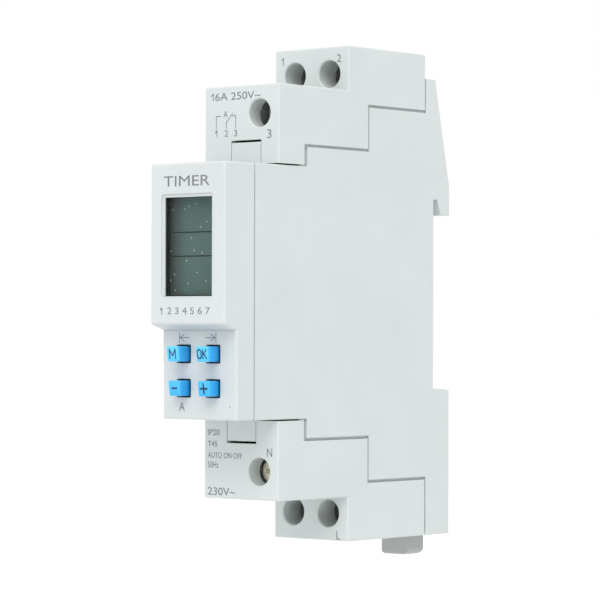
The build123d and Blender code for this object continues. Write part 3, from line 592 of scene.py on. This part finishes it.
def printed_lines():
    """Changeover contact symbol above the first tab, and the two arrows above the buttons."""
    contact = [
        [(-6.03, 29.42), (-6.03, 31.6), (-4.95, 31.6)],
        [(-3.63, 29.41), (-3.63, 30.45), (-2.1, 32.0)],
        [(-2.35, 31.57), (-1.42, 31.57), (-1.42, 29.35)],
    ]
    add_piece("print_contact_symbol", strokes(contact, BLOCK_FACE), GREY_INK, HOUSING)
    arrows = {"left": (-4.7, 1), "right": (3.9, -1)}
    level = -8.07
    for side, (bar, way) in arrows.items():
        tip = bar + 0.2 * way
        barb = tip + 0.9 * way
        marks = [
            [(bar, level + 0.79), (bar, level - 0.8)],
            [(tip, level), (bar + 2.3 * way, level)],
            [(barb, level + 0.57), (tip, level), (barb, level - 0.57)],
        ]
        add_piece("print_arrow_" + side, strokes(marks, PANEL_FACE), GREY_INK, HOUSING)


def button_glyphs():
    """Dark marks on the sloping fronts of the four buttons; paths are shares of each mark's size."""
    letter_m = ((0, 0), (0, 1), (0.5, 0.3), (1, 1), (1, 0))
    letter_o = (
        (0.12, 0), (0.30, 0), (0.42, 0.2), (0.42, 0.8), (0.30, 1), (0.12, 1), (0, 0.8), (0, 0.2), (0.12, 0)
    )
    letter_k = (((0.6, 0), (0.6, 1)), ((1, 1), (0.62, 0.42)), ((0.72, 0.58), (1, 0)))
    across, upright = ((0, 0.5), (1, 0.5)), ((0.5, 1), (0.5, 0))
    glyphs = {
        "menu": (1.6, 1.72, LETTER_PEN, (letter_m,)),
        "ok": (2.3, 1.72, LETTER_PEN, (letter_o, *letter_k)),
        "minus": (1.3, SIGN_PEN, SIGN_PEN, (across,)),
        "plus": (1.85, 1.85, SIGN_PEN, (across, upright)),
    }
    lean = math.tan(BUTTON_TILT)
    edge_setback = BUTTON_EDGE * (lean + 1 / math.cos(BUTTON_TILT) - 1)
    for name, (wide, high, pen, paths) in glyphs.items():
        button_low, button_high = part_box("button_" + name)
        centre = (button_low + button_high) / 2 / MM
        lines = [
            [(centre.x + (a - 0.5) * (wide - pen), centre.z + (b - 0.5) * (high - pen)) for a, b in path]
            for path in paths
        ]
        mesh = strokes(lines, button_low.y - edge_setback, pen)
        top = centre.z * MM + BUTTON_HIGH / 2
        for vertex in mesh.vertices:
            vertex.co.y += (top - vertex.co.z) * lean
        add_piece("glyph_" + name, mesh, NAVY_INK, "button_" + name + "_body")


# --- display ---
def display():
    """Display glass with its bevelled plates, polarising film, two divider lines and a contact ledge."""
    front_low = Vector((LCD_LOW.x, LCD_LOW.y + FILM_THICK - FILM_SINK, LCD_LOW.z + GLASS_LEDGE))
    front_high = Vector((LCD_HIGH.x, FRONT_PLATE_BACK, LCD_HIGH.z))
    rear_low = Vector((LCD_LOW.x, FRONT_PLATE_BACK + PLATE_GAP, LCD_LOW.z))
    glass = bmesh.new()
    bevelled_box(glass, front_low, front_high, PLATE_EDGE)
    bevelled_box(glass, rear_low, LCD_HIGH, PLATE_EDGE)
    plates = add_piece("lcd_glass_plates", mesh_from(glass), MATERIALS["lcd_glass"], HOUSING)
    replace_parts(plates, "lcd_panel")

    inset = Vector((FILM_INSET, 0, FILM_INSET))
    film_low = Vector((LCD_LOW.x, LCD_LOW.y, LCD_LOW.z + GLASS_LEDGE)) + inset
    film_high = Vector((LCD_HIGH.x, LCD_LOW.y + FILM_THICK, LCD_HIGH.z)) - inset
    film = bmesh.new()
    bevelled_box(film, film_low, film_high, FILM_EDGE)
    add_piece("lcd_polariser", mesh_from(film), LCD_FILM, HOUSING)
    dividers = strokes([[(-5.1, z), (5.9, z)] for z in (10.4, 6.2)], LCD_LOW.y, DIVIDER_PEN)
    add_piece("lcd_dividers", dividers, BLACK_INK, HOUSING)


# --- terminal screws ---
def around_y(centre, radius, y, turn):
    """Point at a radius from the line through a centre along Y, at a share of a turn."""
    angle = 2 * math.pi * turn
    return centre.x + radius * math.cos(angle), y, centre.z + radius * math.sin(angle)


def thread(y_start, y_end, centre):
    """Shank along +Y with a thread that fades out at both ends."""
    length = y_end - y_start
    rows = int(length / THREAD_PITCH * ROWS_PER_PITCH)
    rings = []
    for row in range(rows + 1):
        y = length * row / rows
        fade = min(1.0, y / THREAD_PITCH, (length - y) / THREAD_PITCH)
        ring = []
        for step in range(THREAD_SEGMENTS):
            turn = step / THREAD_SEGMENTS
            phase = (y / THREAD_PITCH - turn) % 1.0
            height = 1 - abs(2 * phase - 1)
            radius = THREAD_ROOT + (THREAD_CREST - THREAD_ROOT) * height * fade
            ring.append(around_y(centre, radius, y_start + y, turn))
        rings.append(ring)
    return loft(rings)


def turned(profile, centre):
    """Solid of revolution about a line along Y; the profile holds (radius, Y) from one pole to the other."""
    build = bmesh.new()
    rings = []
    for radius, y in profile:
        count = HEAD_SEGMENTS if radius else 1
        rings.append([build.verts.new(around_y(centre, radius, y, i / count)) for i in range(count)])
    for first, second in zip(rings, rings[1:]):
        for i in range(HEAD_SEGMENTS):
            j = (i + 1) % HEAD_SEGMENTS
            places = ((first, i), (first, j), (second, j), (second, i))
            corners = list(dict.fromkeys(ring[k % len(ring)] for ring, k in places))
            if len(corners) > 2:
                build.faces.new(corners)
    return build


def wedge(centre, y, depth, wide, long, upright):
    """Tapered cutter for a screw recess; wide and long are each (at the head's face, at the floor)."""
    rings = []
    for level, half_wide, half_long in (
        (y - depth, FLARE_WIDE * wide[0] / 2, FLARE_LONG * long[0] / 2),
        (y, wide[0] / 2, long[0] / 2),
        (y + depth, wide[1] / 2, long[1] / 2),
    ):
        half_x, half_z = (half_wide, half_long) if upright else (half_long, half_wide)
        corners = ((-half_x, -half_z), (half_x, -half_z), (half_x, half_z), (-half_x, half_z))
        rings.append([(centre.x + a, level, centre.z + b) for a, b in corners])
    return mesh_from(loft(rings))


def screw_head(centre, y):
    """Cheese head with a rolled edge, a full slot and a cross recess."""
    r, under = HEAD_RADIUS, y + HEAD_LENGTH
    profile = [
        (0, y),
        (r * 0.86, y),
        (r * 0.94, y + 0.05 * MM),
        (r * 0.985, y + 0.16 * MM),
        (r, y + 0.32 * MM),
        (r, under - 0.12 * MM),
        (r * 0.97, under),
        (THREAD_ROOT, under),
        (THREAD_ROOT, under + HEAD_OVERLAP),
        (0, under + HEAD_OVERLAP),
    ]
    head = add_object("head", mesh_from(turned(profile, centre)))
    slot = wedge(centre, y, 0.95 * MM, (0.75 * MM, 0.6 * MM), (5 * MM, 4.8 * MM), upright=True)
    cross = wedge(centre, y, 1.2 * MM, (0.75 * MM, 0.5 * MM), (2.7 * MM, 1.6 * MM), upright=False)
    cutters = [add_object("cutter", mesh) for mesh in (slot, cross)]
    for cutter in cutters:
        cut = head.modifiers.new("recess", "BOOLEAN")
        cut.operation = "DIFFERENCE"
        cut.solver = "EXACT"
        cut.object = cutter
    soften = head.modifiers.new("soften", "BEVEL")
    soften.width = HEAD_EDGE
    soften.segments = 2
    soften.limit_method = "ANGLE"
    soften.angle_limit = math.radians(50)
    mesh = evaluated_mesh(head)
    for cutter in cutters:
        bpy.data.objects.remove(cutter)
    return mesh


def terminal_screws():
    """Five screws with real recesses and threads."""
    for name in ("1", "2", "3", "n", "l"):
        node, body = "terminal_screw_" + name, "screw_" + name
        low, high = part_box(node)
        centre = (low + high) / 2
        build = thread(low.y + HEAD_LENGTH, high.y, centre)
        build.from_mesh(screw_head(centre, low.y))
        screw = smooth(mesh_from(build))
        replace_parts(add_piece(body, screw, MATERIALS["screw_steel"], body), node)


# --- rail clip spring ---
def clip_spring():
    """Compression spring with closed ends."""
    low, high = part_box("din_clip_spring")
    centre = (low + high) / 2
    mean = SPRING_RADIUS - SPRING_WIRE
    closed = SPRING_CLOSED_TURNS
    turns = SPRING_TURNS + 2 * closed
    steps = turns * SPRING_STEPS_PER_TURN
    bottom, top = low.z + SPRING_WIRE, high.z - SPRING_WIRE
    closed_rise = 2 * SPRING_WIRE
    rings = []
    for step in range(steps + 1):
        turn = turns * step / steps
        if turn < closed:
            z = bottom + closed_rise * turn / closed
        elif turn > turns - closed:
            z = top - closed_rise * (turns - turn) / closed
        else:
            share = (turn - closed) / (turns - 2 * closed)
            z = bottom + closed_rise + share * (top - bottom - 2 * closed_rise)
        angle = 2 * math.pi * turn
        out = Vector((math.cos(angle), math.sin(angle), 0))
        ring = []
        for k in range(WIRE_SEGMENTS):
            a = 2 * math.pi * k / WIRE_SEGMENTS
            point = Vector((centre.x, centre.y, z)) + out * (mean + SPRING_WIRE * math.cos(a))
            ring.append(point + Vector((0, 0, SPRING_WIRE * math.sin(a))))
        rings.append(ring)
    coil = smooth(mesh_from(loft(rings)))
    spring = add_piece("clip_spring", coil, MATERIALS["spring_steel"], HOUSING)
    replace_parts(spring, "din_clip_spring")
    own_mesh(spring)


# --- stage, light and camera ---
def floor():
    """Plain pale floor under the object."""
    build = bmesh.new()
    place = Matrix.Translation((0, 0, FLOOR_LEVEL))
    bmesh.ops.create_grid(build, x_segments=8, y_segments=8, size=FLOOR_HALF, matrix=place)
    mesh = bpy.data.meshes.new("floor")
    build.to_mesh(mesh)
    build.free()
    material, tree, shader = shader_tree("pale_floor")
    tone = patches(tree, 0.3, 2, limits=(0.3, 0.7))
    tree.links.new(mix_colour(tree, tone, (0.88, 0.88, 0.88), (0.9, 0.9, 0.9)), shader.inputs["Base Color"])
    shader.inputs["Roughness"].default_value = 0.9
    shader.inputs["Specular IOR Level"].default_value = 0.0
    mesh.materials.append(material)
    add_object("floor", mesh)


def world():
    """White surroundings, brighter above than below for the object, plain white for the camera."""
    scene_world = bpy.data.worlds.new("studio")
    bpy.context.scene.world = scene_world
    scene_world.use_nodes = True
    tree = scene_world.node_tree
    tree.nodes.clear()
    output = tree.nodes.new("ShaderNodeOutputWorld")
    background = tree.nodes.new("ShaderNodeBackground")
    place = tree.nodes.new("ShaderNodeTexCoord").outputs["Generated"]
    split = tree.nodes.new("ShaderNodeSeparateXYZ")
    tree.links.new(place, split.inputs[0])
    rise = span(tree, split.outputs["Z"], (-0.6, 0.6), (0, 1))
    around = mix_colour(tree, rise, (0.54, 0.55, 0.55), (0.98, 1.0, 1.0))
    seen = tree.nodes.new("ShaderNodeLightPath").outputs["Is Camera Ray"]
    tree.links.new(mix_colour(tree, seen, around, (1, 1, 1)), background.inputs["Color"])
    tree.links.new(background.outputs[0], output.inputs["Surface"])


def direction(azimuth, elevation):
    """Unit vector from the object towards an azimuth and elevation in radians; azimuth 0 is the front."""
    level = math.cos(elevation)
    return Vector((math.sin(azimuth) * level, -math.cos(azimuth) * level, math.sin(elevation)))


def sun(name, azimuth, elevation, strength, angle):
    """Broad soft light from an azimuth and elevation in degrees, as if from a large softbox."""
    light = bpy.data.lights.new(name, "SUN")
    light.energy = strength
    light.angle = math.radians(angle)
    lamp = add_object(name, light)
    lamp.rotation_mode = "QUATERNION"
    back = direction(math.radians(azimuth), math.radians(elevation))
    lamp.rotation_quaternion = back.to_track_quat("Z", "Y")


def camera():
    """Camera at the photograph's angle and distance."""
    back = direction(CAMERA_AZIMUTH, CAMERA_ELEVATION)
    level = Vector((math.cos(CAMERA_AZIMUTH), math.sin(CAMERA_AZIMUTH), 0))
    upright = back.cross(level)
    right = level * math.cos(CAMERA_ROLL) + upright * math.sin(CAMERA_ROLL)
    up = upright * math.cos(CAMERA_ROLL) - level * math.sin(CAMERA_ROLL)
    place = Vector((0, AIM_Y, AIM_Z)) + level * AIM_ACROSS + back * CAMERA_DISTANCE
    data = bpy.data.cameras.new("camera")
    data.lens = CAMERA_LENS
    data.sensor_width = SENSOR
    data.clip_start = 0.01
    data.clip_end = 50
    view = add_object("camera", data)
    rotation = Matrix((right, up, back)).transposed().to_4x4()
    view.matrix_world = Matrix.Translation(place) @ rotation
    bpy.context.scene.camera = view


dress_nodes()
printed_labels()
printed_lines()
button_glyphs()
display()
terminal_screws()
clip_spring()
floor()
world()
sun("key", azimuth=30, elevation=50, strength=1.55, angle=50)
camera()
bpy.context.scene.view_settings.view_transform = "Standard"
